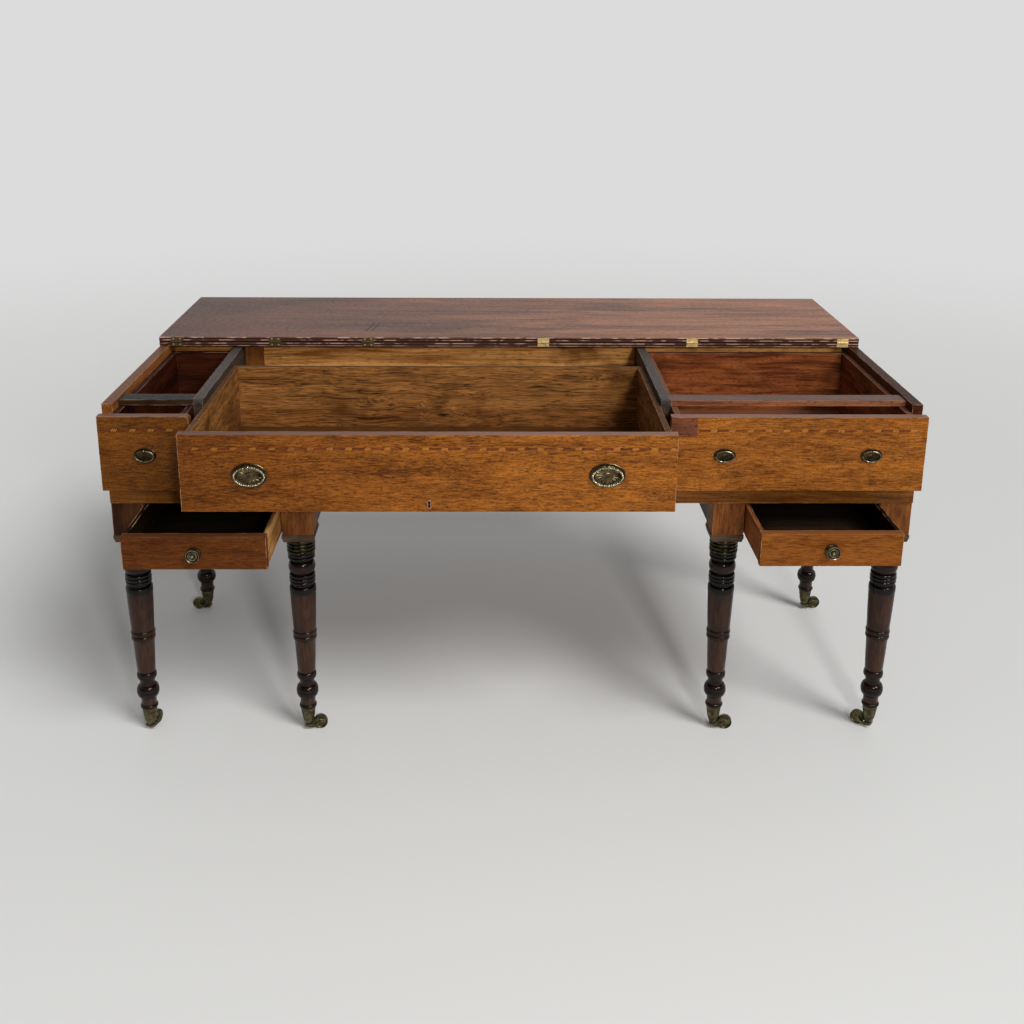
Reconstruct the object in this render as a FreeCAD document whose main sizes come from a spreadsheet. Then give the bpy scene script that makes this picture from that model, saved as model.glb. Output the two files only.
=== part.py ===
import FreeCAD, Part
import Sketcher
import math
import operator
import os
from types import SimpleNamespace

# A writing desk made from the case of a square piano: a long shallow case with three
# overlay drawers, a top whose front flap folds back on the fixed rear leaf, a small drawer
# between each pair of front legs, and six turned legs on brass casters.
# X runs along the case, Y to the back and Z up. The floor is z = 0, and the origin is
# below the middle of the space that the desk takes with its flap back and drawers out.

Vector = FreeCAD.Vector
Rotation = FreeCAD.Rotation
UPRIGHT = Rotation(Vector(1, 0, 0), 90)
CROSSWISE = Rotation(Vector(0, 1, 0), 90)

SIZES = {
    # Case
    "case_length": 1700, "case_depth": 645, "case_top": 786, "case_bottom": 566,
    "base_thick": 40, "end_thick": 22, "back_thick": 18, "pine_thick": 15,
    "divider_thick": 20, "left_divider": 662, "right_divider": 320, "divider_round": 9,
    "set_back": 40, "rail_depth": 40, "rail_thick": 12, "rail_drop": 4,
    "post_width": 42, "post_thick": 20, "drawer_room": 505,
    # Top, with its hinge line behind the case front
    "leaf_thick": 12, "hinge_back": 449, "flap_depth": 435, "rear_overhang": 3,
    "edge_round": 3, "meeting_ease": 1.5, "leaf_gap": 0.25, "rest_gap": 0.4,
    # Butt hinges on the meeting edges of the two leaves
    "hinge_length": 28, "hinge_plate": 1.5, "plate_proud": 0.1, "plate_height": 8,
    "knuckle_radius": 2.6, "pin_radius": 1.2, "pin_play": 0.05, "knuckle_gap": 0.3,
    # Upper drawers
    "front_thick": 20, "front_drop": 15, "front_gap": 3, "front_round": 2, "corner_round": 9,
    "seat_gap": 0.5, "side_thick": 12, "side_play": 1.5, "side_drop": 1.5, "runner_thick": 3,
    "runner_width": 14, "run_gap": 0.3, "bottom_thick": 6, "bottom_up": 7, "groove_deep": 5,
    "groove_play": 0.2, "side_drawer_length": 490, "middle_drawer_length": 470,
    "left_open": 18, "middle_open": 127, "right_open": 18,
    # Small drawers between the leg blocks
    "small_front_thick": 18, "small_play": 1.5, "small_clear": 3.5, "small_length": 380,
    "small_side_thick": 8, "small_step": 1, "small_ease": 2, "rest_reach": 7, "rest_height": 8,
    "guide_thick": 20, "small_left_open": 167, "small_right_open": 154,
    # Leg blocks, plates, collars and turned legs
    "block_side": 67, "block_height": 76, "block_inset": 4, "inner_leg": 459.5,
    "apron_thick": 18, "apron_height": 70, "plate_side": 70, "plate_thick": 11,
    "leg_radius": 28, "collar_share": 0.13, "collar_radius": 30,
    # Casters
    "wheel_radius": 16, "wheel_width": 13, "axle_radius": 2, "wheel_play": 0.05,
    "fork_gap": 0.6, "wheel_clear": 2.3, "cheek_thick": 2.5, "cup_radius": 15.7, "cup_top": 57,
    "cup_bottom": 14.6, "pivot_radius": 3, "pivot_length": 8, "swivel_gap": 0.6, "fork_bottom": 4,
    # Pulls, knobs and keyhole
    "large_pull_width": 72, "large_pull_height": 49, "small_pull_width": 46,
    "small_pull_height": 31, "pull_plate": 3, "bail_share": 0.073, "bail_gap": 0.5, "ring_inset": 2.9,
    "eye_play": 0.4, "knob_radius": 14, "knob_reach": 28, "pull_apart": 352,
    "right_pull_apart": 152, "pull_drop": 2, "keyhole_up": 16, "escutcheon_width": 10,
    "escutcheon_height": 18, "escutcheon_thick": 1.5, "lock_width": 60, "lock_height": 34,
    "lock_thick": 9,
}

# Where the six hinges sit along the top, as shares of its length from the left end.
HINGE_SHARES = (0.0247, 0.1644, 0.2965, 0.547, 0.7603, 0.9768)

# Turned leg from its collar to its cup: (share of its height from the top, share of its radius).
# A drum, a neck, the upper shaft, a step, the tapered lower shaft, a ring, a vase and its neck.
LEG_TURNING = (
    (0.000, 1.01), (0.172, 1.01), (0.186, 0.81), (0.201, 0.98), (0.482, 0.98), (0.494, 0.80),
    (0.765, 0.66), (0.777, 0.77), (0.828, 0.60), (0.882, 0.88), (0.939, 0.63), (1.000, 0.63),
)

# Flat sides of the smallest round pieces, such as pins, of the wheels, collars and small
# ovals, and knuckles in each hinge.
SMALL_ROUND = 6
FINE_ROUND = 28
KNUCKLES = 3

# How far a cutting shape stands out of what it cuts, and proportions of small forms: the hinge
# mortises' round beds and the walls of the pulls' eyes, the chamfer below a leg plate, the tip
# of a caster cup, and the arms and eyes of a caster fork.
OVERCUT = 1
BED_EASE, EYE_WALL = 1.1, 0.8
PLATE_EASE, TIP_SHARE = 0.4, 0.5
ARM_SHARE, AXLE_EYE_SHARE = 0.5, 0.42

# Rest direction of each caster's wheel from its leg, in degrees from +X towards +Y.
CASTER_TURNS = {
    "left_outer": 75, "left_inner": 8, "right_inner": -6, "right_outer": 142,
    "left_rear": 172, "right_rear": 8,
}


class Size:
    """A size as a number, with the sheet formula that gives it."""

    def __init__(self, value, formula):
        self.value = value
        self.formula = formula

    def __add__(self, other):
        return combined(self, "+", other)

    def __radd__(self, other):
        return combined(other, "+", self)

    def __sub__(self, other):
        return combined(self, "-", other)

    def __rsub__(self, other):
        return combined(other, "-", self)

    def __mul__(self, other):
        return combined(self, "*", other)

    def __rmul__(self, other):
        return combined(other, "*", self)

    def __truediv__(self, other):
        return combined(self, "/", other)

    def __neg__(self):
        return combined(0, "-", self)


SIGNS = {"+": operator.add, "-": operator.sub, "*": operator.mul, "/": operator.truediv}


def as_size(number):
    return number if isinstance(number, Size) else Size(number, "(%.6f)" % number)


def combined(left, sign, right):
    one, two = as_size(left), as_size(right)
    return Size(SIGNS[sign](one.value, two.value), "(%s %s %s)" % (one.formula, sign, two.formula))


def make_sheet():
    sheet = doc.addObject("Spreadsheet::Sheet", "Sizes")
    for row, (alias, value) in enumerate(SIZES.items(), 1):
        sheet.set("A%d" % row, alias)
        sheet.set("B%d" % row, str(value))
        sheet.setAlias("B%d" % row, alias)
    doc.recompute()
    return SimpleNamespace(**{
        alias: Size(float(sheet.get(alias)), "Sizes." + alias) for alias in SIZES})


def bind(item, path, size):
    item.setExpression(path, as_size(size).formula)


def put(item, x=0, y=0, z=0, rotation=None):
    """Place an item, with its position tied to the sheet."""
    item.Placement = FreeCAD.Placement(Vector(), rotation or Rotation())
    for axis, size in (("x", x), ("y", y), ("z", z)):
        bind(item, "Placement.Base." + axis, size)
    return item


def box(name, x, y, z):
    """A board between two limits on each axis."""
    item = doc.addObject("Part::Box", name)
    for side, (low, high) in (("Length", x), ("Width", y), ("Height", z)):
        bind(item, side, high - low)
    return put(item, x[0], y[0], z[0])


def bore_around(radius, play):
    """Corner radius of a small bore whose flat sides clear the pin's corners."""
    return (radius + play) / math.cos(math.pi / SMALL_ROUND)


def rod(name, radius, length, x=0, y=0, z=0, rotation=None, sides=None):
    """A round bar, or one with so many flat sides where it is small."""
    item = doc.addObject("Part::Prism" if sides else "Part::Cylinder", name)
    if sides:
        item.Polygon = sides
    bind(item, "Circumradius" if sides else "Radius", radius)
    bind(item, "Height", length)
    return put(item, x, y, z, rotation)


def joined(name, kind, items):
    item = doc.addObject(kind, name)
    if kind == "Part::Compound":
        item.Links = items
    else:
        item.Shapes = items
    return item


def cut(name, base, tool):
    item = doc.addObject("Part::Cut", name)
    item.Base = base
    item.Tool = tool
    return item


def copy_of(name, master, x=0, y=0, z=0, turn=0):
    """The master piece again at another place, turned about the upright axis."""
    item = doc.addObject("App::Link", name)
    item.LinkedObject = master
    return put(item, x, y, z, Rotation(Vector(0, 0, 1), turn))


def edged(kind, name, base, size, chosen):
    """Work the edges that are chosen by the box around them."""
    doc.recompute()
    item = doc.addObject(kind, name)
    item.Base = base
    item.Edges = [(number, size, size) for number, edge in enumerate(base.Shape.Edges, 1)
                  if chosen(edge.BoundBox)]
    return item


def rounded(name, base, radius, chosen):
    return edged("Part::Fillet", name, base, radius, chosen)


def chamfered(name, base, width, chosen):
    return edged("Part::Chamfer", name, base, width, chosen)


def node(name, item):
    item.Label = name
    nodes[name] = item
    return item


def group(name, items):
    return node(name, joined(name, "Part::Compound", items))


def origin_plane(body, role):
    return [plane for plane in body.Origin.OriginFeatures if plane.Role == role][0]


def turned(name, outline):
    """A turned solid from its outline, a list of (radius, height) points."""
    body = doc.addObject("PartDesign::Body", name)
    sketch = body.newObject("Sketcher::SketchObject", name + "_outline")
    sketch.AttachmentSupport = (origin_plane(body, "XZ_Plane"), [""])
    sketch.MapMode = "FlatFace"
    points = [(as_size(radius), as_size(height)) for radius, height in outline]
    count = len(points)
    for index, (radius, height) in enumerate(points):
        after_radius, after_height = points[(index + 1) % count]
        start = Vector(radius.value, height.value, 0)
        end = Vector(after_radius.value, after_height.value, 0)
        sketch.addGeometry(Part.LineSegment(start, end))
    start_point, end_point, origin, upright_axis = 1, 2, -1, -2
    for index in range(count):
        after = (index + 1) % count
        sketch.addConstraint(Sketcher.Constraint("Coincident", index, end_point, after, start_point))
    for index, (radius, height) in enumerate(points):
        if radius.value == 0:
            sketch.addConstraint(Sketcher.Constraint("PointOnObject", index, start_point, upright_axis))
        else:
            number = sketch.addConstraint(Sketcher.Constraint(
                "DistanceX", origin, 1, index, start_point, radius.value))
            bind(sketch, "Constraints[%d]" % number, radius)
        number = sketch.addConstraint(Sketcher.Constraint(
            "DistanceY", origin, 1, index, start_point, height.value))
        bind(sketch, "Constraints[%d]" % number, height)
    turning = body.newObject("PartDesign::Revolution", name + "_turning")
    turning.Profile = sketch
    turning.ReferenceAxis = (sketch, ["V_Axis"])
    turning.Angle = 360
    return body


def oval(name, long_side, short_side, depth, y=0, rotation=UPRIGHT):
    """An upright oval slab, from y towards the front."""
    slab = doc.addObject("Part::Scale", name)
    slab.Base = rod(name + "_disc", 1, depth, sides=FINE_ROUND)
    slab.Uniform = False
    bind(slab, "XScale", long_side / 2)
    bind(slab, "YScale", short_side / 2)
    return put(slab, 0, y, 0, rotation)


def make_case():
    group("end_panels", [
        box("left_end", (left, left + s.end_thick), (front, back), (base_top, s.case_top)),
        box("right_end", (right - s.end_thick, right), (front, back), (base_top, s.case_top))])
    node("base_board", box("base", (left, right), (front, back), (s.case_bottom, base_top)))
    inside = (left + s.end_thick, right - s.end_thick)
    node("back_board", box("back", inside, (back - s.back_thick, back), (base_top, s.case_top)))
    node("inner_back_board", box(
        "inner_back", inside, (room_back, room_back + s.pine_thick), (base_top, inner_top)))

    # Each divider's front top corner is worn round.
    dividers = []
    for side, middle in (("left", -s.left_divider), ("right", s.right_divider)):
        board = box(side + "_divider_board", (middle - half_divider, middle + half_divider),
                    (inner_front, room_back), (base_top, inner_top))
        dividers.append(rounded(side + "_divider", board, s.divider_round.value,
                                lambda edge: edge.YMax < inner_front.value + 1
                                and edge.ZMin > inner_top.value - 1))
    group("bay_dividers", dividers)
    rail_y = (inner_front, inner_front + s.rail_depth)
    rail_z = (inner_top - s.rail_thick, inner_top)
    group("top_rails", [
        box("left_rail", (inside[0], -s.left_divider - half_divider), rail_y, rail_z),
        box("right_rail", (s.right_divider + half_divider, inside[1]), rail_y, rail_z)])
    post_left = -s.left_divider + half_divider
    node("corner_post", box("post", (post_left, post_left + s.post_width),
                            (room_back - s.post_thick, room_back), (base_top, inner_top)))


def hinge_middles():
    return [left + share * s.case_length for share in HINGE_SHARES]


def leaf_mortises(name, low, high):
    """Shallow recesses for the hinge plates, with a round bed for each knuckle."""
    recesses = []
    bed_radius = (s.knuckle_radius + s.knuckle_gap) * BED_EASE
    half = s.hinge_length / 2 + s.knuckle_gap
    for number, middle in enumerate(hinge_middles(), 1):
        recess = box("%s_recess_%d" % (name, number), (middle - half, middle + half),
                     (hinge_y - OVERCUT, plate_back), (low, high))
        bed = rod("%s_bed_%d" % (name, number), bed_radius, 2 * half, middle - half, hinge_y,
                  hinge_z, CROSSWISE, SMALL_ROUND)
        recesses += [recess, bed]
    return joined(name + "_recesses", "Part::Compound", recesses)


def make_leaf(name, y, z, plate_z):
    """One board of the top: a round outer edge, an eased meeting edge and its hinge mortises."""
    board = box(name + "_board", (left, right), y, z)
    worn = rounded(name + "_worn", board, s.edge_round.value,
                   lambda edge: edge.ZLength < 1 and edge.YMin > y[1].value - 1)
    eased = chamfered(name + "_eased", worn, s.meeting_ease.value,
                      lambda edge: edge.ZLength < 1 and edge.YMax < y[0].value + 1)
    node(name, cut(name, eased, leaf_mortises(name, *plate_z)))


def hinge_leaf(name, plate_z, web_z, own_knuckles):
    """Plate and knuckles of one side of each hinge; the case side also carries the pin."""
    step = s.hinge_length / KNUCKLES
    leaves = []
    for number, middle in enumerate(hinge_middles(), 1):
        start = middle - s.hinge_length / 2
        tag = "%s_%d" % (name, number)
        pieces = [box(tag + "_plate", (start, start + s.hinge_length), (plate_front, plate_back),
                      plate_z)]
        for knuckle in own_knuckles:
            low = start + knuckle * step + s.knuckle_gap / 2
            width = step - s.knuckle_gap
            part = "%s_%d" % (tag, knuckle)
            pieces.append(box(part + "_web", (low, low + width), (plate_front, plate_back), web_z))
            pieces.append(rod(part + "_knuckle", s.knuckle_radius, width, low, hinge_y, hinge_z,
                              CROSSWISE, SMALL_ROUND))
        leaves.append((tag, start, pieces))
    return leaves


def make_top():
    lower_plate = (hinge_z - s.knuckle_radius - s.knuckle_gap - s.plate_height,
                   hinge_z - s.knuckle_radius - s.knuckle_gap)
    upper_plate = (hinge_z + s.knuckle_radius + s.knuckle_gap,
                   hinge_z + s.knuckle_radius + s.knuckle_gap + s.plate_height)
    edge = hinge_y + s.leaf_gap
    make_leaf("fixed_leaf", (edge, back + s.rear_overhang), (s.case_top, hinge_z - s.leaf_gap),
              (lower_plate[0] - s.leaf_gap, hinge_z))
    make_leaf("front_flap", (edge, hinge_y + s.flap_depth), (hinge_z + s.leaf_gap, top_z),
              (hinge_z, upper_plate[1] + s.leaf_gap))
    ends = s.knuckle_gap / 2
    fixed, folding = [], []
    for tag, start, pieces in hinge_leaf("case_hinge", lower_plate, (lower_plate[1], hinge_z), (0, 2)):
        pin = rod(tag + "_pin", s.pin_radius, s.hinge_length - s.knuckle_gap, start + ends, hinge_y,
                  hinge_z, CROSSWISE, SMALL_ROUND)
        fixed.append(joined(tag, "Part::MultiFuse", pieces + [pin]))
    for tag, start, pieces in hinge_leaf("flap_hinge", upper_plate, (hinge_z, upper_plate[0]), (1,)):
        bore = rod(tag + "_bore", bore_around(s.pin_radius, s.pin_play), s.hinge_length, start, hinge_y,
                   hinge_z, CROSSWISE, SMALL_ROUND)
        folding.append(cut(tag, joined(tag + "_leaf", "Part::MultiFuse", pieces), bore))
    group("case_hinge_leaves", fixed)
    group("flap_hinge_leaves", folding)


def drawer_box(name, x, y, z, thick, groove):
    """Two sides with a groove for the bottom, and a back that stands on the bottom."""
    groove_z = (z[0] + s.bottom_up, z[0] + s.bottom_up + s.bottom_thick)
    sides = []
    for side, low, inner in (("left", x[0], x[0] + thick - groove),
                             ("right", x[1] - thick, x[1] - thick)):
        board = box("%s_%s_board" % (name, side), (low, low + thick), y, z)
        slot = box("%s_%s_slot" % (name, side), (inner, inner + groove),
                   (y[0], y[1]), (groove_z[0] - s.groove_play, groove_z[1] + s.groove_play))
        sides.append(cut("%s_%s_side" % (name, side), board, slot))
    back_z = (groove_z[1] + s.groove_play, z[1])
    back = box(name + "_back", (x[0] + thick, x[1] - thick), (y[1] - thick, y[1]), back_z)
    bottom = box(name + "_bottom_panel", (x[0] + thick - groove, x[1] - thick + groove), y, groove_z)
    return sides, back, bottom


def make_upper_drawer(name, x, box_x, opened, length, lock_x=None, worn_corner=False):
    """An overlay front, flat-sided box and bottom; the front covers the case edges."""
    seat = front - opened - s.seat_gap
    face = seat - s.front_thick
    panel = box(name + "_panel", x, (face, seat), (front_low, front_top))
    if worn_corner:
        panel = rounded(name + "_corner", panel, s.corner_round.value,
                        lambda edge: edge.XMin > x[1].value - 1 and edge.ZMin > front_top.value - 1)
    # The long edges of the face are eased, and next to a worn corner only the lower one.
    eased_top = front_low if worn_corner else front_top
    eased = rounded(name + "_eased", panel, s.front_round.value,
                    lambda edge: edge.YMax < face.value + 1 and edge.ZLength < 1
                    and edge.ZMax < eased_top.value + 1)
    if lock_x is not None:
        eased = cut(name + "_keyed", eased, make_lock(name, lock_x, face, seat))
    node(name + "_front", eased)
    sides, back_panel, bottom = drawer_box(
        name, box_x, (seat, front - opened + length), (side_low, side_top), s.side_thick,
        s.groove_deep)
    group(name + "_box", sides + [back_panel])
    node(name + "_bottom", bottom)
    return face


def make_lock(name, x, face, seat):
    """A lock in a mortise of the front's lower edge, and the hollow that holds it."""
    low = front_low
    depth = (seat - s.front_thick / 2 - s.lock_thick / 2, seat - s.front_thick / 2 + s.lock_thick / 2)
    half = s.lock_width / 2
    lock = box("lock_case", (x - half, x + half), depth, (low, low + s.lock_height))
    play = s.groove_play
    mortise = box("lock_mortise", (x - half - play, x + half + play),
                  (depth[0] - play, depth[1] + play), (low - OVERCUT, low + s.lock_height + play))
    key_z = low + s.keyhole_up
    key_radius = s.escutcheon_width / 5
    shaft = rod("key_shaft", key_radius, s.front_thick / 2 + OVERCUT, x, face - OVERCUT, key_z,
                Rotation(Vector(1, 0, 0), -90), SMALL_ROUND)
    node("middle_lock", cut("lock", lock, shaft))
    on_end = UPRIGHT.multiply(Rotation(Vector(0, 0, 1), 90))
    plate = oval("keyhole_plate", s.escutcheon_height, s.escutcheon_width, s.escutcheon_thick,
                 rotation=on_end)
    eye = rod("key_eye", key_radius, s.escutcheon_thick + 2 * OVERCUT, 0, OVERCUT, 0, UPRIGHT,
              SMALL_ROUND)
    slot = box("key_slot", (-key_radius / 2, key_radius / 2),
               (-s.escutcheon_thick - OVERCUT, as_size(OVERCUT)),
               (-s.escutcheon_height / 4, as_size(0)))
    plate = cut("keyhole_front", plate, joined("keyhole", "Part::Compound", [eye, slot]))
    node("middle_escutcheon", copy_of("escutcheon", plate, x, face, key_z))
    return joined("lock_hollow", "Part::Compound", [mortise, shaft])


def pull_masters(size_name, width, height):
    """An oval plate with an eye at the top, and the oval ring that hangs in it."""
    section = width * s.bail_share / 2
    margin = section * s.ring_inset
    ring_x, ring_z = width / 2 - margin, height / 2 - margin
    # The ring's square corners clear the plate and the eye as it swings up.
    corner = section * math.sqrt(2)
    ring_y = s.pull_plate + s.bail_gap + corner
    eye_hole = bore_around(corner, s.eye_play)
    slab = oval(size_name + "_slab", width, height, s.pull_plate)
    eye = rod(size_name + "_eye", eye_hole + section * EYE_WALL, section * 2, -section, -ring_y, ring_z,
              CROSSWISE, SMALL_ROUND)
    bore = rod(size_name + "_eye_bore", eye_hole, section * 4, -section * 2, -ring_y, ring_z,
               CROSSWISE, SMALL_ROUND)
    pierced = cut(size_name + "_pierced", eye, bore)
    rim = oval(size_name + "_ring_rim", 2 * (ring_x + section), 2 * (ring_z + section), 2 * section,
               section - ring_y)
    hollow = oval(size_name + "_ring_hollow", 2 * (ring_x - section), 2 * (ring_z - section),
                  4 * section, 2 * section - ring_y)
    return (joined(size_name + "_plate", "Part::MultiFuse", [slab, pierced]),
            cut(size_name + "_ring", rim, hollow))


def make_upper_drawers():
    half_gap = s.front_gap / 2
    play = s.side_play
    left_edge, right_edge = -s.left_divider, s.right_divider
    faces = {}
    faces["left"] = make_upper_drawer(
        "left_drawer", (left, left_edge - half_gap),
        (left + s.end_thick + play, left_edge - half_divider - play), s.left_open,
        s.side_drawer_length, worn_corner=True)
    middle = (right_edge + left_edge) / 2
    faces["middle"] = make_upper_drawer(
        "middle_drawer", (left_edge + half_gap, right_edge - half_gap),
        (left_edge + half_divider + play, right_edge - half_divider - play), s.middle_open,
        s.middle_drawer_length, lock_x=middle)
    faces["right"] = make_upper_drawer(
        "right_drawer", (right_edge + half_gap, right),
        (right_edge + half_divider + play, right - s.end_thick - play), s.right_open,
        s.side_drawer_length)

    large = pull_masters("large", s.large_pull_width, s.large_pull_height)
    small = pull_masters("small", s.small_pull_width, s.small_pull_height)
    left_middle = (left + left_edge) / 2
    right_middle = (right_edge + right) / 2
    pulls = {
        "left_pull_plates": (small, "left", {"left_bail": left_middle}),
        "middle_pull_plates": (large, "middle", {
            "middle_left_bail": middle - s.pull_apart, "middle_right_bail": middle + s.pull_apart}),
        "right_pull_plates": (small, "right", {
            "right_inner_bail": right_middle - s.right_pull_apart,
            "right_outer_bail": right_middle + s.right_pull_apart}),
    }
    for plates, ((plate, ring), drawer, bails) in pulls.items():
        group(plates, [copy_of(name + "_plate", plate, x, faces[drawer], pull_z)
                       for name, x in bails.items()])
        for name, x in bails.items():
            node(name, copy_of(name, ring, x, faces[drawer], pull_z))


def make_runners():
    """Strips on the bottom board under the sides of the upper drawers."""
    edges = []
    for low, high in ((left + s.end_thick, -s.left_divider - half_divider),
                      (-s.left_divider + half_divider, s.right_divider - half_divider),
                      (s.right_divider + half_divider, right - s.end_thick)):
        edges += [low, high - s.runner_width]
    group("drawer_runners", [
        box("runner_%d" % number, (low, low + s.runner_width),
            (inner_front, room_back - s.post_thick), (base_top, base_top + s.runner_thick))
        for number, low in enumerate(edges, 1)])


def make_small_drawer(name, x, opened, knob):
    """An inset front between two leg blocks; its sides run on ledges of the guides."""
    face = block_front - opened
    seat = face + s.small_front_thick
    panel = box(name + "_panel", x, (face, seat), (small_low, small_top))
    node(name + "_front", rounded(name + "_front", panel, s.front_round.value,
                                  lambda edge: edge.YMax < face.value + 1 and edge.ZLength < 1))
    box_x = (x[0] + s.small_step, x[1] - s.small_step)
    y = (seat, face + s.small_length)
    sides, back_panel, bottom = drawer_box(
        name, box_x, y, (small_low + s.small_ease, small_top - s.small_ease), s.small_side_thick,
        s.groove_deep)
    group(name + "_box", sides + [back_panel])
    node(name + "_bottom", bottom)
    middle = (x[0] + x[1]) / 2
    turned_knob = doc.addObject("App::Link", name + "_knob")
    turned_knob.LinkedObject = knob
    node(name + "_knob", put(turned_knob, middle, face, (small_low + small_top) / 2, UPRIGHT))


def make_small_drawers():
    reach, radius = s.knob_reach, s.knob_radius
    steps = [("stem", 0.5, 0, 0.6), ("head", 1, 0.6, 0.86), ("boss", 0.65, 0.86, 1)]
    knob = joined("knob_master", "Part::MultiFuse", [
        rod("knob_" + name, share * radius, (high - low) * reach, z=low * reach, sides=FINE_ROUND)
        for name, share, low, high in steps])
    inner = s.inner_leg + s.block_side / 2 + s.small_play
    outer = outer_leg - s.block_side / 2 - s.small_play
    make_small_drawer("small_left", (-outer, -inner), s.small_left_open, knob)
    make_small_drawer("small_right", (inner, outer), s.small_right_open, knob)


def make_stand():
    """Blocks, aprons and guides under the case, and the six legs below them."""
    places = leg_places()
    half_block, half_plate = s.block_side / 2, s.plate_side / 2
    blocks, plates = [], []
    for name, (x, y) in places.items():
        blocks.append(box(name + "_block", (x - half_block, x + half_block),
                          (y - half_block, y + half_block), (block_low, s.case_bottom)))
        board = box(name + "_plate_board", (x - half_plate, x + half_plate),
                    (y - half_plate, y + half_plate), (leg_top, block_low))
        plates.append(chamfered(name + "_leg_plate", board, s.plate_thick.value * PLATE_EASE,
                                lambda edge: edge.ZLength < 1 and edge.ZMax < leg_top.value + 1))
    group("leg_blocks", blocks)
    group("leg_plates", plates)

    collar_low = leg_top - (leg_top - s.cup_top) * s.collar_share
    height = collar_low - s.cup_top
    outline = [(0, collar_low)]
    outline += [(s.leg_radius * share, collar_low - height * drop) for drop, share in LEG_TURNING]
    leg = turned("leg_master", outline + [(0, s.cup_top)])
    group("legs", [copy_of(name + "_leg", leg, x, y) for name, (x, y) in places.items()])

    group("leg_collars", [rod(name + "_collar", s.collar_radius, leg_top - collar_low, x, y, collar_low,
                              sides=FINE_ROUND)
                          for name, (x, y) in places.items()])

    # Each cup has a blind bore in its tip for the pivot of the fork.
    shell = turned("cup_shell", [(0, s.cup_bottom), (cup_tip, s.cup_bottom),
                                 (s.cup_radius, s.cup_top), (0, s.cup_top)])
    bore = rod("cup_bore", bore_around(s.pivot_radius, s.wheel_play), s.pivot_length, 0, 0,
               s.cup_bottom, sides=SMALL_ROUND)
    cup = cut("cup_master", shell, bore)
    group("caster_cups", [copy_of(name + "_cup", cup, x, y) for name, (x, y) in places.items()])
    make_aprons()
    make_casters(places)


def make_aprons():
    """Aprons flush with the blocks' outer faces, and guides with ledges that carry the small drawers."""
    low = s.case_bottom - s.apron_height
    behind = block_front + s.block_side
    # The plates stand out past the blocks, and the guides start behind them.
    past_plate = block_front + (s.block_side + s.plate_side) / 2 + s.run_gap
    rear = back - s.block_inset - s.block_side
    rail_back = block_front + s.small_length + s.guide_thick
    knee = s.inner_leg - s.block_side / 2
    guide_in = s.inner_leg + s.block_side / 2
    guide_out = outer_leg - s.block_side / 2
    guide_z = (small_low + s.small_ease - s.run_gap - s.rest_height, s.case_bottom)
    aprons, guides = [], []
    for side, sign in (("left", -1), ("right", 1)):
        def across(one, two):
            return (sign * one, sign * two) if sign > 0 else (sign * two, sign * one)
        z = (low, s.case_bottom)
        aprons.append(box(side + "_end_apron", across(right - s.apron_thick, right), (behind, rear), z))
        aprons.append(box(side + "_knee_apron", across(knee, knee + s.apron_thick),
                          (behind, rail_back), z))
        for name, wall, tip in (
                ("inner", (guide_in - s.guide_thick, guide_in), guide_in + s.rest_reach),
                ("outer", (guide_out, guide_out + s.guide_thick), guide_out - s.rest_reach)):
            tag = "%s_%s_" % (side, name)
            guides.append(box(tag + "guide", across(*wall), (past_plate, rail_back), guide_z))
            reach = (wall[1], tip) if name == "inner" else (tip, wall[0])
            guides.append(box(tag + "ledge", across(*reach), (past_plate, rail_back - s.guide_thick),
                              (guide_z[0], guide_z[0] + s.rest_height)))
        guides.append(box(side + "_back_rail", across(guide_in - s.guide_thick, guide_out + s.guide_thick),
                          (rail_back, rail_back + s.guide_thick), guide_z))
    group("aprons", aprons)
    group("drawer_guides", guides)


def make_casters(places):
    """Fork with its pivot and axle pins, and the wheel that turns on the axle."""
    radius, half = s.wheel_radius, s.wheel_width / 2
    inner, outer = half + s.fork_gap, half + s.fork_gap + s.cheek_thick
    trail = cup_tip + radius + s.wheel_clear
    hub_top = s.cup_bottom - s.swivel_gap
    arm_low = hub_top - radius * ARM_SHARE
    pieces = [
        box("fork_saddle", (-cup_tip, cup_tip), (-outer, outer), (s.fork_bottom, hub_top)),
        rod("fork_pivot", s.pivot_radius, s.pivot_length, 0, 0, hub_top, sides=SMALL_ROUND),
        rod("fork_axle", s.axle_radius, 2 * outer, trail, outer, radius, UPRIGHT, SMALL_ROUND)]
    for side, y in (("near", -outer), ("far", inner)):
        pieces.append(box("fork_%s_arm" % side, (as_size(0), trail), (y, y + s.cheek_thick),
                          (arm_low, hub_top)))
        pieces.append(rod("fork_%s_eye" % side, radius * AXLE_EYE_SHARE, s.cheek_thick, trail,
                          y + s.cheek_thick, radius, UPRIGHT, SMALL_ROUND))
    fork = joined("fork_master", "Part::MultiFuse", pieces)
    bore = rod("wheel_bore", bore_around(s.axle_radius, s.wheel_play), s.wheel_width, 0, 0, -half,
               sides=SMALL_ROUND)
    disc = rod("wheel_disc", radius, s.wheel_width, 0, 0, -half, sides=FINE_ROUND)
    wheel = cut("wheel_master", disc, bore)
    for name, (x, y) in places.items():
        turn = CASTER_TURNS[name]
        node(name + "_fork", copy_of(name + "_fork", fork, x, y, 0, turn))
        along = Vector(math.cos(math.radians(turn)), math.sin(math.radians(turn)), 0)
        item = doc.addObject("App::Link", name + "_wheel")
        item.LinkedObject = wheel
        node(name + "_wheel", put(item, x + along.x * trail, y + along.y * trail, radius,
                                  Rotation(Vector(0, 0, 1), turn).multiply(UPRIGHT)))


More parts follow.
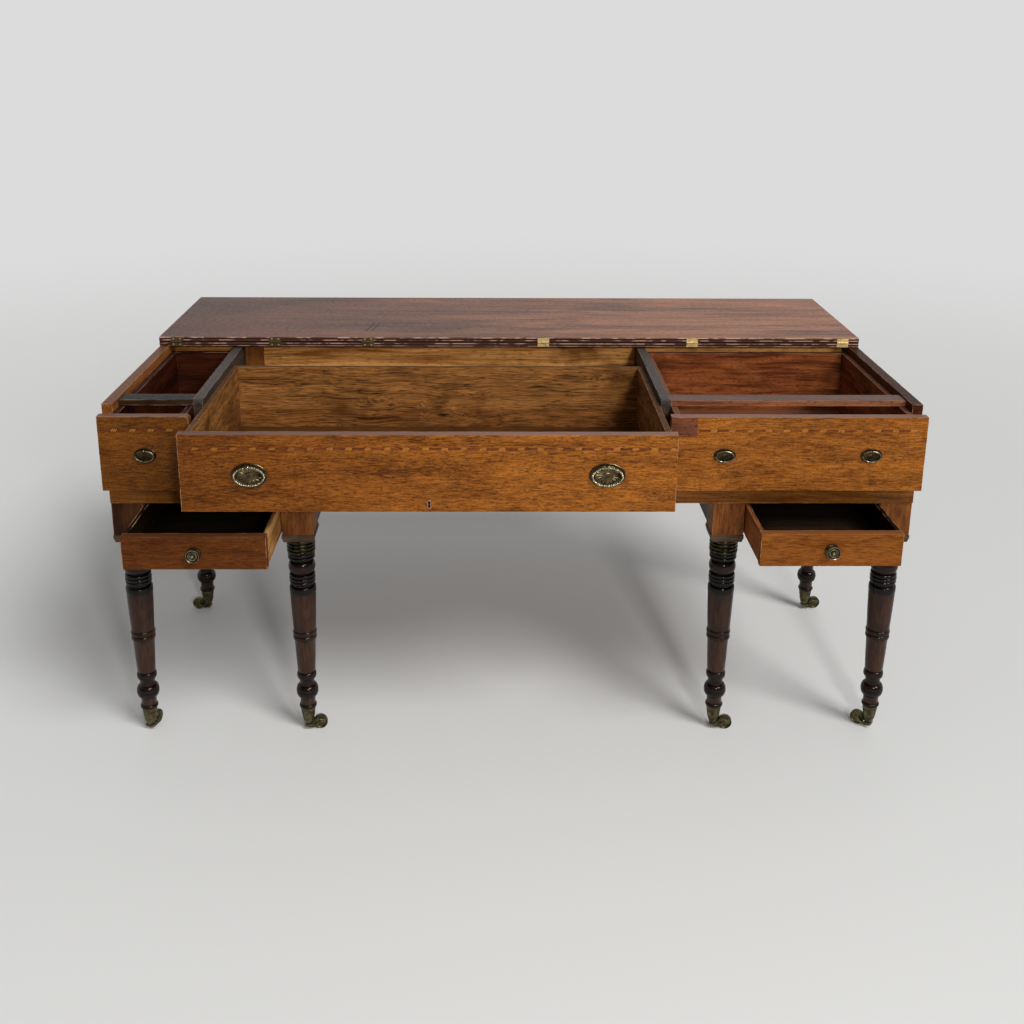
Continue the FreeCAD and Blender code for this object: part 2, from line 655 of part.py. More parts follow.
def leg_places():
    front_y = block_front + s.block_side / 2
    rear_y = back - s.block_inset - s.block_side / 2
    return {
        "left_outer": (-outer_leg, front_y), "left_inner": (-s.inner_leg, front_y),
        "right_inner": (s.inner_leg, front_y), "right_outer": (outer_leg, front_y),
        "left_rear": (-outer_leg, rear_y), "right_rear": (outer_leg, rear_y),
    }


def write_parts():
    doc.recompute()
    failed = [item.Name for item in doc.Objects
              if "Invalid" in item.State or "Error" in item.State]
    shapes = {name: Part.getShape(item) for name, item in nodes.items()}
    failed += [name for name, shape in shapes.items()
               if shape.isNull() or not shape.isValid() or not shape.Solids]
    if failed:
        raise SystemExit("failed: " + ", ".join(failed))
    os.makedirs("parts", exist_ok=True)
    for name, shape in shapes.items():
        shape.exportStep("parts/%s.step" % name)
    print(len(nodes), "nodes written")


doc = FreeCAD.newDocument("writing_desk")
nodes = {}
s = make_sheet()

# Places that several pieces share.
left, right = -s.case_length / 2, s.case_length / 2
reach_front = s.knob_reach + s.small_left_open - s.block_inset
front = (reach_front - s.hinge_back - s.flap_depth) / 2
back = front + s.case_depth
base_top = s.case_bottom + s.base_thick
inner_front = front + s.set_back
inner_top = s.case_top - s.rail_drop
room_back = front + s.drawer_room
half_divider = s.divider_thick / 2
hinge_y = front + s.hinge_back
hinge_z = s.case_top + s.leaf_thick
top_z = hinge_z + s.leaf_thick - s.rest_gap
plate_front = hinge_y + s.leaf_gap - s.plate_proud
plate_back = plate_front + s.hinge_plate
front_low = base_top + s.runner_thick
front_top = s.case_top - s.front_drop
side_low = front_low + s.run_gap
side_top = inner_top - s.rail_thick - s.side_drop
pull_z = (front_low + front_top) / 2 - s.pull_drop
block_front = front + s.block_inset
block_low = s.case_bottom - s.block_height
leg_top = block_low - s.plate_thick
outer_leg = right - s.block_side / 2
cup_tip = s.cup_radius * TIP_SHARE
small_low = block_low + s.small_play
small_top = s.case_bottom - s.small_clear

make_case()
make_top()
make_upper_drawers()
make_runners()
make_small_drawers()
make_stand()
write_parts()
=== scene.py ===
import math
import bpy
from mathutils import Matrix, Vector


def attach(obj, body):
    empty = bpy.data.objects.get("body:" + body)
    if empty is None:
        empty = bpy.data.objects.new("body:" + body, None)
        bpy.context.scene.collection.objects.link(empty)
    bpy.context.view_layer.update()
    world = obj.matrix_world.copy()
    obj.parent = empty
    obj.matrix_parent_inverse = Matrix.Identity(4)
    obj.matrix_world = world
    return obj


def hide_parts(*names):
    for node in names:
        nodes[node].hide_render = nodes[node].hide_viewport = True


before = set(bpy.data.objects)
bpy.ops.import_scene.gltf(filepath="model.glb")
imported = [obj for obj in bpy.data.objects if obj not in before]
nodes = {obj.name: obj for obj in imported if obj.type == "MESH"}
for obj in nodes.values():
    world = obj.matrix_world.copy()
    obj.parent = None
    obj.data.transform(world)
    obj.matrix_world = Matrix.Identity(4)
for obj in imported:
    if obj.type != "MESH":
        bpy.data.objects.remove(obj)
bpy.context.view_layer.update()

MM = 0.001
# Sockets of the mix node by number, because colours and vectors share their names there.
SHARE, FIRST, SECOND, MIXED = 0, 6, 7, 2
PLACE_A, PLACE_B, PLACE_MIXED = 4, 5, 1


def linear(text):
    """Linear colour from an sRGB hex."""
    values = [int(text[at:at + 2], 16) / 255 for at in (1, 3, 5)]
    return tuple(v / 12.92 if v <= 0.04045 else ((v + 0.055) / 1.055) ** 2.4 for v in values) + (1,)


def fill(tree, item, inputs):
    """Set the inputs of a node, or link them."""
    for name, value in inputs.items():
        if isinstance(value, bpy.types.NodeSocket):
            tree.links.new(value, item.inputs[name])
        else:
            item.inputs[name].default_value = value


def add(tree, kind, inputs, **settings):
    """Add a node, with its settings, and with its inputs set or linked."""
    item = tree.nodes.new("ShaderNode" + kind)
    for name, value in settings.items():
        setattr(item, name, value)
    fill(tree, item, inputs)
    return item


def mix(tree, share, first, second, **settings):
    """A colour between two others."""
    return add(tree, "Mix", {SHARE: share, FIRST: first, SECOND: second}, data_type="RGBA",
               **settings).outputs[MIXED]


def between(tree, value, low, high, to_low=0, to_high=1, **settings):
    """A value from low to high, carried over to another range and held inside it."""
    return add(tree, "MapRange", {"Value": value, "From Min": low, "From Max": high, "To Min": to_low,
                                  "To Max": to_high}, **settings).outputs[0]


def maths(tree, operation, *values):
    """One step of plain arithmetic, by its name."""
    return add(tree, "Math", dict(enumerate(values)), operation=operation).outputs[0]


def noise(tree, place, scale, detail, **more):
    """Soft noise about a half."""
    return add(tree, "TexNoise", {"Vector": place, "Scale": scale, "Detail": detail, **more}).outputs["Fac"]


def along(tree, vector, axis):
    """How far a vector goes along an axis."""
    return add(tree, "SeparateXYZ", {"Vector": vector}).outputs[axis]


def drawn_out(tree, place, grain, length, width):
    """Texture place for marks of that length and width in mm along the grain."""
    scale = [1 / (length * MM) if axis == grain else 1 / (width * MM) for axis in "XYZ"]
    return add(tree, "Mapping", {"Vector": place, "Scale": scale}).outputs[0]


def open_air(tree, reach, samples):
    """How open a place is, judged by what stands within reach, in mm."""
    return add(tree, "AmbientOcclusion", {"Distance": reach * MM}, samples=samples).outputs["AO"]


def start(name):
    """A new material, with its nodes and its shader."""
    material = bpy.data.materials.new(name)
    material.use_nodes = True
    return material, material.node_tree, material.node_tree.nodes["Principled BSDF"]


# A face looks along the row when its normal goes this far along X.
SIDEWAYS = 0.7
# How far the noise goes from dark to half-way, and from clear wood to a full pore
TONE_HALF, PORE_EDGE = 0.22, 0.13
# How far apart knots are, and how large rubbed places with their painted highlights are, along and across
# the grain in mm
KNOT_LENGTH, KNOT_WIDTH = 150, 60
RUB_GLINT_LENGTH, RUB_GLINT_WIDTH = 45, 18
# Depth of pores in wood and of pits in brass
PORE_DEPTH, PIT_DEPTH = 0.4 * MM, 0.3 * MM
# Height in mm at which tints by height end
RINGS_TOP = 1000


def wood(name, dark, light, pore, grain, streak=(90, 5), figure=(160, 40), pores=(11, 3),
         pore_share=0.7, pore_from=0.55, cloud=1.0, roughness=0.45, shine=0.1, gloss=0.0, worn_glint=None,
         worn_glint_width=2.5, stain=None, knot=None, dust_and_painted_light=None, grime_and_shade=None, grime_shade_reach=7, darker_end=None, rings=None,
         waver=14):
    """A board: streaks along the grain, cloudy figure, short open pores, dirt with painted shade, and worn
    edges with painted highlights.
    """
    material, tree, shader = start(name)
    place = add(tree, "TexCoord", {}).outputs["Object"]
    true = add(tree, "NewGeometry", {}).outputs["Normal"]
    laid = place
    if grain == "X":
        # Boards that face along the row have a grain that runs to the back.
        parts = add(tree, "SeparateXYZ", {"Vector": place}).outputs
        crossed = add(tree, "CombineXYZ", {"X": parts["Y"], "Y": parts["X"], "Z": parts["Z"]}).outputs[0]
        turned = maths(tree, "ABSOLUTE", along(tree, true, "X"))
        turned = maths(tree, "GREATER_THAN", turned, SIDEWAYS)
        laid = add(tree, "Mix", {SHARE: turned, PLACE_A: place, PLACE_B: crossed},
                   data_type="VECTOR").outputs[PLACE_MIXED]
    # Fine streaks and broad figure, both drawn out along a grain that wavers a little.
    sway = add(tree, "TexNoise", {"Vector": laid, "Scale": 7, "Detail": 1}).outputs["Color"]
    grain_line = add(tree, "VectorMath", {0: sway, 1: [waver * MM] * 3, 2: laid},
                     operation="MULTIPLY_ADD").outputs[0]
    fine = drawn_out(tree, grain_line, grain, *streak)
    if knot:
        # Knots of about 10 mm, with the streaks bending round them.
        spread = drawn_out(tree, laid, grain, KNOT_LENGTH, KNOT_WIDTH)
        near = add(tree, "TexVoronoi", {"Vector": spread, "Scale": 1}).outputs["Distance"]
        swell = between(tree, near, 0.42, 0, 0, 5, interpolation_type="SMOOTHSTEP")
        fine = add(tree, "VectorMath", {0: fine, 1: swell}).outputs[0]
    broad = drawn_out(tree, grain_line, grain, *figure)
    streaks = noise(tree, fine, 1, 4, Roughness=0.65, Distortion=0.3)
    clouds = noise(tree, broad, 1, 2, Roughness=0.5, Distortion=0.8)
    both = maths(tree, "MULTIPLY_ADD", clouds, cloud, streaks)
    centre = 0.5 + 0.5 * cloud
    tone = between(tree, both, centre - TONE_HALF, centre + TONE_HALF)
    colour = mix(tree, tone, linear(dark), linear(light))
    if knot:
        eye = between(tree, near, 0.12, 0.05, 0, 0.9)
        colour = mix(tree, eye, colour, linear(knot))
    # Open pores as short dark flecks along the grain, drawn a few times wider than real ones
    # so that they show.
    flecks = noise(tree, drawn_out(tree, laid, grain, *pores), 1, 2, Roughness=0.6)
    fleck = between(tree, flecks, pore_from, pore_from + PORE_EDGE, 0, pore_share)
    colour = mix(tree, fleck, colour, linear(pore))
    if stain:
        blots = noise(tree, place, 9, 3, Roughness=0.6)
        colour = mix(tree, between(tree, blots, 0.54, 0.68, 0, 0.7), colour, linear(stain))
    if dust_and_painted_light:
        # Faces that look up are greyed by dust and handling, with a painted sheen on upper edges and
        # painted shade on the middle drawer's floor.
        up_share = between(tree, along(tree, true, "Z"), 0.6, 0.95, 0, 0.7)
        colour = mix(tree, up_share, colour, linear(dust_and_painted_light))
    if darker_end:
        # One end of the row of boards is darker: painted shade where less light reaches, and on the fronts
        # also a darker skin.
        low, high, tint = darker_end
        end_share = between(tree, along(tree, place, "X"), low * MM, high * MM, 1, 0)
        colour = mix(tree, end_share, colour, linear(tint), blend_type="MULTIPLY")
    if rings:
        # Tints by height, as (height in mm, colour) going up.
        height = between(tree, along(tree, place, "Z"), 0, RINGS_TOP * MM)
        bands = add(tree, "ValToRGB", {"Fac": height})
        stops = bands.color_ramp.elements
        for number, (level, tint) in enumerate(rings):
            stop = stops[number] if number < 2 else stops.new(1)
            stop.position, stop.color = level / RINGS_TOP, linear(tint)
        colour = mix(tree, 1, colour, bands.outputs[0], blend_type="MULTIPLY")
    if worn_glint:
        # Outer edges rubbed lighter, with a painted highlight on them, in broken lengths. Inner corners are
        # shut in and stay dark.
        soft = add(tree, "Bevel", {"Radius": worn_glint_width * MM}, samples=6).outputs[0]
        turn = add(tree, "VectorMath", {0: soft, 1: true}, operation="DOT_PRODUCT").outputs["Value"]
        edge = between(tree, turn, 0.985, 0.9)
        rub_glints = noise(tree, drawn_out(tree, laid, grain, RUB_GLINT_LENGTH, RUB_GLINT_WIDTH), 1, 3)
        rub_glint = between(tree, rub_glints, 0.42, 0.56)
        outer = between(tree, open_air(tree, 5, 6), 0.72, 0.88)
        rubbed_glint = maths(tree, "MULTIPLY", edge, rub_glint)
        rubbed_glint = maths(tree, "MULTIPLY", rubbed_glint, outer)
        colour = mix(tree, rubbed_glint, colour, linear(worn_glint))
    if grime_and_shade:
        # Old wax and soot in the joints, and painted shade wherever the space is shut in.
        soot_and_shade = between(tree, open_air(tree, grime_shade_reach, 8), 0.72, 0.4, 0, 0.85)
        colour = mix(tree, soot_and_shade, colour, linear(grime_and_shade))
    # Polish is thinner over the pores, so they are duller than the wood between them.
    dull = between(tree, flecks, 0.4, 0.7, roughness - 0.06, roughness + 0.14)
    relief = add(tree, "Bump", {"Strength": 0.35, "Distance": PORE_DEPTH, "Height": flecks},
                 invert=True).outputs[0]
    fill(tree, shader, {"Base Color": colour, "Roughness": dull, "Normal": relief, "IOR": 1.5,
                        "Specular IOR Level": shine, "Coat Weight": gloss, "Coat Roughness": 0.05})
    return material


def metal(name, clean, tarnish, roughness, spread=0.5, scale=70, darker_end=None):
    """Old brass: rubbed bright on its high places, brown in its hollows, with soft blotches."""
    material, tree, shader = start(name)
    place = add(tree, "TexCoord", {}).outputs["Object"]
    blots = noise(tree, place, scale, 4, Roughness=0.6)
    patch = between(tree, blots, spread - 0.14, spread + 0.14)
    hollow = between(tree, open_air(tree, 3, 8), 0.85, 0.35)
    shade = maths(tree, "MAXIMUM", patch, hollow)
    if darker_end:
        # Tarnished all over at one end of the row.
        low, high = darker_end
        end_share = between(tree, along(tree, place, "X"), low * MM, high * MM, 0.92, 0)
        shade = maths(tree, "MAXIMUM", shade, end_share)
    colour = mix(tree, shade, linear(clean), linear(tarnish))
    rough = between(tree, shade, 0, 1, roughness, roughness + 0.2)
    pits = noise(tree, place, 900, 2)
    relief = add(tree, "Bump", {"Strength": 0.15, "Distance": PIT_DEPTH, "Height": pits}).outputs[0]
    fill(tree, shader, {"Base Color": colour, "Metallic": 1, "Roughness": rough, "Normal": relief})
    return material


def moulded_edge(material, levels):
    """Fine mouldings painted along front edges: painted shade in their grooves, and arrises rubbed pale
    with painted highlights, in broken lengths.

    Each level is a height and a half width in mm, a colour, and whether it is broken.
    """
    tree = material.node_tree
    shader = tree.nodes["Principled BSDF"]
    colour = shader.inputs["Base Color"].links[0].from_socket
    place = add(tree, "TexCoord", {}).outputs["Object"]
    height = along(tree, place, "Z")
    normal = add(tree, "NewGeometry", {}).outputs["Normal"]
    front = between(tree, along(tree, normal, "Y"), -0.2, -0.6)
    rub_glints = noise(tree, drawn_out(tree, place, "X", 26, 9), 1, 3)
    rub_glint = between(tree, rub_glints, 0.47, 0.58)
    for middle, half, tint, broken in levels:
        off = maths(tree, "SUBTRACT", height, middle * MM)
        off = maths(tree, "ABSOLUTE", off)
        share = between(tree, off, half * MM, half * MM / 2)
        share = maths(tree, "MULTIPLY", share, front)
        if broken:
            share = maths(tree, "MULTIPLY", share, rub_glint)
        colour = mix(tree, share, colour, linear(tint))
    tree.links.new(colour, shader.inputs["Base Color"])


# Faded polish on the top: grey-brown under a thin old gloss that takes the light of the room, with painted
# shade darkening it toward the left where less of that light is reflected.
top_wood = wood("mahogany_faded_polish", "#5A3422", "#A66E4E", "#3A2014", "X", (190, 6), (420, 60),
                pore_share=0.4, roughness=0.36, shine=0.16, worn_glint="#B08A70", worn_glint_width=2.6,
                grime_and_shade="#24140E", darker_end=(-850, 300, "#8C7064"))
# Painted mouldings on the front edges of the leaves: painted shade in the grooves and the joint, and
# painted highlights with wear on the arrises.
moulded_edge(top_wood, [(798, 15, "#4A2E26", False), (808.6, 1.3, "#B8947E", True),
                        (805.4, 1.3, "#1E120C", False), (802.4, 1.4, "#B8907A", True),
                        (798, 1.7, "#120A06", False), (794.4, 1.4, "#B8907A", True),
                        (791.2, 1.3, "#1E120C", False), (788.2, 1.3, "#A07A64", True)])
# Waxed figured fronts: warm red-brown with close short pores, rubbed light edges with painted highlights,
# and painted shade toward the left.
front_wood = wood("mahogany_waxed_figured", "#4A2408", "#AA6624", "#2A1203", "X", (24, 2.6), (150, 30),
                  (6, 1.8), 0.75, 0.54, 0.45, roughness=0.42, shine=0.08, worn_glint="#B98E6A", dust_and_painted_light="#866A62",
                  darker_end=(-700, 0, "#BEB4A8"))
# The left front is darker and browner: partly smoke and old wax, and partly painted shade.
shaded_front_wood = wood("mahogany_waxed_shaded", "#3C1E06", "#784612", "#1A0A02", "X", (24, 2.6), (150, 30),
                       (6, 1.8), 0.7, 0.54, 0.45, roughness=0.42, shine=0.08, worn_glint="#A57B58",
                       dust_and_painted_light="#74594E")
# Small fronts: brown wood with fine pores, handled low down and out of the light, and darker toward the
# left with painted shade.
small_front_wood = wood("mahogany_waxed_low", "#4E2508", "#94561C", "#260E03", "X", (24, 2.2), (150, 30),
                        (5, 1.5), 0.5, 0.54, 0.45, roughness=0.42, shine=0.08, worn_glint="#B4845C",
                        dust_and_painted_light="#7A4E30", darker_end=(-640, 500, "#AEA6AA"))
# A later repair let into the right front: purple-brown and close in grain.
patch_wood = wood("mahogany_waxed_repair", "#4E2A18", "#70402A", "#2C170E", "X", (60, 9), (120, 20),
                  roughness=0.45)
# Front rail and posts of the case: dull wax, golden-brown with handling.
case_wood = wood("mahogany_waxed_case", "#552C0C", "#86521C", "#2A1506", "X", (110, 5), (200, 40),
                 (9, 2), 0.6, cloud=0.6, roughness=0.48, worn_glint="#A5784A", grime_and_shade="#1E1108")
# End panels: the same wax over straight grain that runs to the back, darker at the right end with painted
# shade.
end_wood = wood("mahogany_waxed_end", "#6A3A16", "#9A5E2C", "#2C160A", "Y", (110, 6), (200, 40),
                roughness=0.46, worn_glint="#B08460", dust_and_painted_light="#66483A", darker_end=(700, -700, "#908272"))
# Leg blocks: upright grain, rubbed at the corners, and darkened by painted shadow at the left outer block.
block_wood = wood("mahogany_waxed_block", "#542C10", "#804C20", "#2A1406", "Z", (70, 6), (90, 30),
                  (14, 2.4), 0.45, roughness=0.48, worn_glint="#9A6A40", grime_and_shade="#1C1008",
                  darker_end=(-840, -720, "#746A66"))
# Moulded plates: grey-olive with dust and brass polish that has run down.
plate_wood = wood("mahogany_waxed_dusty", "#30241A", "#544232", "#1C140E", "X", (60, 5), (90, 30),
                  roughness=0.5, worn_glint="#7A6450", grime_and_shade="#15100B")
# Turned legs: satin brown shafts between rings that have kept a black shellac gloss, with painted shade
# deep in the hollows of the turning.
leg_wood = wood("mahogany_shellac_turned", "#231309", "#402718", "#120904", "Z", (60, 5), (90, 24),
                (12, 3), 0.4, roughness=0.34, shine=0.03, gloss=0.4, grime_and_shade="#060403",
                rings=[(66, "#6A6058"), (67, "#FFFFFF"), (82, "#FFFFFF"), (84, "#80766A"),
                       (148, "#8C8074"), (151, "#F4ECE4"), (226, "#FFFFFF"), (229, "#C0B4A6"),
                       (252, "#C0B4A6"), (255, "#F4F0EC"), (343, "#F0E8E0"), (345, "#40342C"),
                       (390, "#665448"), (394, "#A07864"), (417, "#7E6052"), (421, "#322C28")])
# Pine backing: golden, painted lighter for the light that reaches it under the top, with brown water
# stains.
pine_wood = wood("pine_sawn_stained", "#8C501A", "#F6B062", "#623410", "X", (240, 5), (300, 26),
                 (20, 3), 0.6, roughness=0.62, stain="#5E3410")
# Lining of the middle drawer: brown streaked softwood with knots, dull and dusty, with a dark line
# round the inside at a third of its height.
# Its floor is greyed by dust and darkened by painted shade.
lining_wood = wood("pine_planed_aged", "#301805", "#AC723A", "#180A03", "X", (150, 2.8), (240, 26),
                   (30, 2.2), 0.9, 0.545, 0.5, roughness=0.6, worn_glint="#9A7A58", stain="#462408",
                   knot="#0C0602", dust_and_painted_light="#442A14", waver=24,
                   rings=[(655, "#EAE2D8"), (664, "#E0D6CC"), (665.4, "#6E5C4C"), (667, "#FFFFFF")])
# Linings of the side drawers: reddish wood, flatter in figure, darker at the left with painted shade.
red_lining_wood = wood("mahogany_planed_lining", "#4E220C", "#965228", "#2A1207", "X", (110, 6),
                       (180, 30), roughness=0.55, worn_glint="#8E7460", stain="#3A1A0A", dust_and_painted_light="#6A4A3C",
                       darker_end=(-500, 200, "#786464"))
# Left small drawer: tan on its outer side, and painted black inside for the shade there.
tan_side_wood = wood("mahogany_planed_tan_shaded", "#7E5024", "#C08C54", "#4A2A10", "Y", (110, 5), (200, 30),
                     (14, 2), 0.5, roughness=0.6, worn_glint="#C8A27C", stain="#6E4420",
                     darker_end=(-503, -501, "#302C2A"))
# Right small drawer: reddish on its outer side, and painted black inside for the shade there.
red_side_wood = wood("mahogany_planed_side_shaded", "#5E3214", "#94582A", "#2E1808", "Y", (110, 5), (200, 30),
                     (14, 2), 0.5, roughness=0.6, worn_glint="#B48A66", stain="#4E2A12",
                     darker_end=(503, 501, "#3C3230"))
# Bottoms of the small drawers: unpolished, and painted nearly black for the shade inside the drawers.
small_bottom_wood = wood("pine_planed_shaded", "#170F09", "#2C1F14", "#0C0704", "X", (150, 6), (220, 30),
                         roughness=0.7, grime_and_shade="#080503", grime_shade_reach=70)
# Dividers, aprons and guides: black-brown stain, greyed with dust and a painted sheen on their upper faces.
stained_wood = wood("pine_stained_black", "#2A231E", "#4A4038", "#161210", "Y", (140, 6), (220, 34),
                    roughness=0.5, worn_glint="#8C7B6E", dust_and_painted_light="#4E4844")
# Top rails: grey with dust and a painted sheen over a reddish edge at the right, darker and colder at the
# left with painted shade.
rail_wood = wood("mahogany_stained_rail", "#6A3A22", "#9A6040", "#2E1A10", "X", (140, 6), (220, 34),
                 roughness=0.5, worn_glint="#A8785A", dust_and_painted_light="#565050", darker_end=(-700, 200, "#6E8694"))
# Hidden back: rough sawn boards, grey-brown with age.
back_wood = wood("pine_sawn_back", "#4A3420", "#715236", "#2C1D10", "X", (260, 7), (320, 40),
                 roughness=0.7, knot="#24180C")

# Plates of the pulls: cast brass gone nearly black in its hollows.
brass = metal("brass_cast_tarnished", "#6A5C42", "#0E0A06", 0.3, 0.58)
# Small plates: blacker still, with little of the metal showing; on the knob necks the same dark stands for
# painted shade.
small_brass = metal("brass_cast_blackened_and_shade", "#544632", "#0C0905", 0.34, 0.54)
# Bails: the same brass rubbed bright by hands.
ring_brass = metal("brass_cast_rubbed", "#B0A282", "#1E170D", 0.24, 0.54, 150)
# Small bails: handled less, so brown with a dull shine.
small_ring_brass = metal("brass_cast_handled", "#887A5E", "#1A140C", 0.3, 0.54, 150)
# Knobs: turned brass gone olive, lighter on the rings that hands have rubbed.
knob_brass = metal("brass_turned_olive", "#8C826A", "#0A0805", 0.28, 0.62)
# Collars: nearly black lacquered brass that gives small sharp lights.
collar_brass = metal("brass_rolled_lacquered", "#423C28", "#0C0A06", 0.18, 0.5)
# Casters: dull olive cast brass that is seldom touched.
dull_brass = metal("brass_cast_dull", "#726A4C", "#3A3524", 0.38, 0.5)
# Keyhole rim: copper-brown, thin and worn.
rim_brass = metal("brass_cast_keyhole_worn", "#B48C70", "#4E3424", 0.45, 0.6, 200)
# Hinges near the right end are still yellow, and those on the left have gone brown.
bright_brass = metal("brass_rolled_bright", "#FFE0A0", "#4C3C26", 0.5, 0.66, darker_end=(-350, 0))

# Inlaid line: pale boxwood slips, darkened by wax.
slip_wood = wood("boxwood_inlaid_slip", "#9A5E24", "#BE8440", "#7A4C22", "Z", (12, 2), (20, 8),
                 roughness=0.42)
# Bars between the slips: dyed wood that has faded in places to the colour of the front, darker toward the
# left with painted shade like the fronts.
bar_wood = wood("dyed_wood_inlaid_bar", "#4E2610", "#743E18", "#2E140A", "X", (16, 2), (30, 6),
                roughness=0.42, stain="#7E4814", darker_end=(-850, -300, "#F0E8E0"))
# Open joints: dark raw wood in the gap. In the keyhole the same dark plug is painted shade.
gap_and_shade_wood = wood("mahogany_open_joint_and_shade", "#0E0907", "#1C120D", "#060403", "Y", (20, 3), (30, 8),
                    roughness=0.7)

# Materials of the nodes that are shown as they come from the frame
FINISHES = {
    "fixed_leaf": top_wood, "front_flap": top_wood,
    "left_drawer_front": shaded_front_wood, "middle_drawer_front": front_wood,
    "right_drawer_front": front_wood, "small_left_front": small_front_wood,
    "small_right_front": small_front_wood,
    "base_board": case_wood, "end_panels": end_wood, "leg_blocks": block_wood,
    "corner_post": block_wood, "aprons": stained_wood,
    "inner_back_board": pine_wood, "back_board": back_wood,
    "bay_dividers": stained_wood, "top_rails": rail_wood,
    "drawer_runners": pine_wood, "drawer_guides": stained_wood,
    "middle_drawer_box": lining_wood, "middle_drawer_bottom": lining_wood,
    "left_drawer_box": red_lining_wood, "left_drawer_bottom": red_lining_wood,
    "right_drawer_box": red_lining_wood, "right_drawer_bottom": red_lining_wood,
    "small_left_box": tan_side_wood, "small_left_bottom": small_bottom_wood,
    "small_right_box": red_side_wood, "small_right_bottom": small_bottom_wood,
    "case_hinge_leaves": bright_brass, "flap_hinge_leaves": bright_brass,
    "middle_lock": dull_brass,
}
for name, material in FINISHES.items():
    nodes[name].data.materials.clear()
    nodes[name].data.materials.append(material)


def stand(name, data):
    """A new object in the scene."""
    item = bpy.data.objects.new(name, data)
    bpy.context.scene.collection.objects.link(item)
    return item


def piece(name, points, faces, material, body, slot, stands_for=(), sharp=35, matrix=None):
    """A finished piece from its points in mm, riding on a body of the frame."""
    mesh = bpy.data.meshes.new(name)
    mesh.from_pydata([Vector(point) * MM for point in points], [], faces)
    mesh.shade_smooth()
    mesh.set_sharp_from_angle(angle=math.radians(sharp))
    mesh.materials.append(material)
    item = stand(name, mesh)
    if matrix:
        item.matrix_world = matrix
    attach(item, body)
    if stands_for:
        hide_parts(*stands_for)


def placed(x, y, z, turn=0, axis="Z"):
    """A place in mm, turned by degrees about an axis there."""
    return (Matrix.Translation(Vector((x, y, z)) * MM)
            @ Matrix.Rotation(math.radians(turn), 4, axis))


def loops(rows, closed_along=False):
    """Points and faces over rows that each close on themselves, capped or joined at the ends."""
    count = len(rows[0])
    points = [point for row in rows for point in row]
    faces = []
    steps = len(rows) if closed_along else len(rows) - 1
    for row in range(steps):
        here, after = row * count, (row + 1) % len(rows) * count
        for at in range(count):
            turn = (at + 1) % count
            faces.append((here + at, here + turn, after + turn, after + at))
    if not closed_along:
        faces.append(tuple(reversed(range(count))))
        faces.append(tuple(range(len(points) - count, len(points))))
    return points, faces


def join(whole, part):
    """Add the points and faces of a part to those of a whole."""
    points, faces = whole
    faces += [tuple(at + len(points) for at in face) for face in part[1]]
    points += part[0]


def turning(outline, around=48):
    """A turned solid about the upright axis, from (height, radius) points going down."""
    rows = []
    for height, radius in reversed(outline):
        rows.append([(radius * math.cos(math.tau * at / around),
                      radius * math.sin(math.tau * at / around), height) for at in range(around)])
    return loops(rows)


def bead(top, bottom, radius, bulge, steps=8):
    """Outline of a half-round moulding between two heights."""
    middle, half = (top + bottom) / 2, (top - bottom) / 2
    return [(middle + half * math.cos(math.pi * step / steps),
             radius + bulge * math.sin(math.pi * step / steps)) for step in range(steps + 1)]


def reeds(count, top, pitch, radius, bulge):
    """Outline of equal half-round mouldings, one below the other."""
    return [point for reed in range(count)
            for point in bead(top - pitch * reed, top - pitch - pitch * reed, radius, bulge)]


def smooth_line(points, steps):
    """A closed line that passes smoothly through its points."""
    count = len(points)
    line = []
    for at in range(count):
        before, here, after, beyond = (Vector(points[(at + shift) % count]) for shift in (-1, 0, 1, 2))
        for step in range(steps):
            t = step / steps
            line.append(0.5 * (2 * here + (after - before) * t
                               + (2 * before - 5 * here + 4 * after - beyond) * t * t
                               + (3 * here - before - 3 * after + beyond) * t ** 3))
    return line


def cut_square(half, corner, z):
    """A square with its corners cut off, at one height."""
    short = half - corner
    return [(half, -short, z), (half, short, z), (short, half, z), (-short, half, z),
            (-half, short, z), (-half, -short, z), (-short, -half, z), (short, -half, z)]


# Turned legs, reeded collars and casters: where each leg stands, and which way its caster trails
LEG_PLACES = {
    "left_outer": (-816.5, -309), "left_inner": (-459.5, -309), "right_inner": (459.5, -309),
    "right_outer": (816.5, -309), "left_rear": (-816.5, 261), "right_rear": (816.5, 261),
}
CASTER_TURNS = {"left_outer": 75, "left_inner": 8, "right_inner": -6, "right_outer": 142,
                "left_rear": 172, "right_rear": 8}
# Legs whose names differ in length are turned differently, so that their grain isn't all the same.
LEG_TURN = 37
BULB = bead(115, 84.5, 16.6, 7.9, 16)
LEG = ([(424, 24.5), (422, 22.8), (420, 22.6)] + bead(419.5, 392, 22.6, 6.4, 12) + [(391, 22.8)]
       + bead(390, 382, 25.8, 2.3) + bead(382, 374, 26.2, 2.3) + bead(374, 366, 25.8, 2.3)
       + [(365, 24), (363, 23.4), (361.4, 23.8), (360.4, 26.6), (359, 28.2), (356, 29), (346, 28.9)]
       + [(344.4, 28.2), (343, 28.3), (295, 26.6), (253, 24.6)] + bead(252, 240.8, 23.8, 2.5)
       + bead(240.4, 229, 23.6, 2.4) + [(228, 23.2), (186, 21.4), (151, 19.7)] + bead(148, 131, 18.2, 3.3)
       + [(128, 16.8), (122, 16.2), (117, 16.2)] + BULB[:8] + [(101.2, 24.4), (100.5, 23.5), (99.8, 24.4)]
       + BULB[9:] + [(83.4, 17.4), (81.8, 17.4), (80.6, 16.6), (68, 16.6)] + bead(66.5, 57.3, 16.4, 3))
COLLAR = reeds(4, 473.6, 8.3, 28.4, 2.6)
LOW_REEDS = reeds(2, 440.4, 8.1, 27, 2.4)
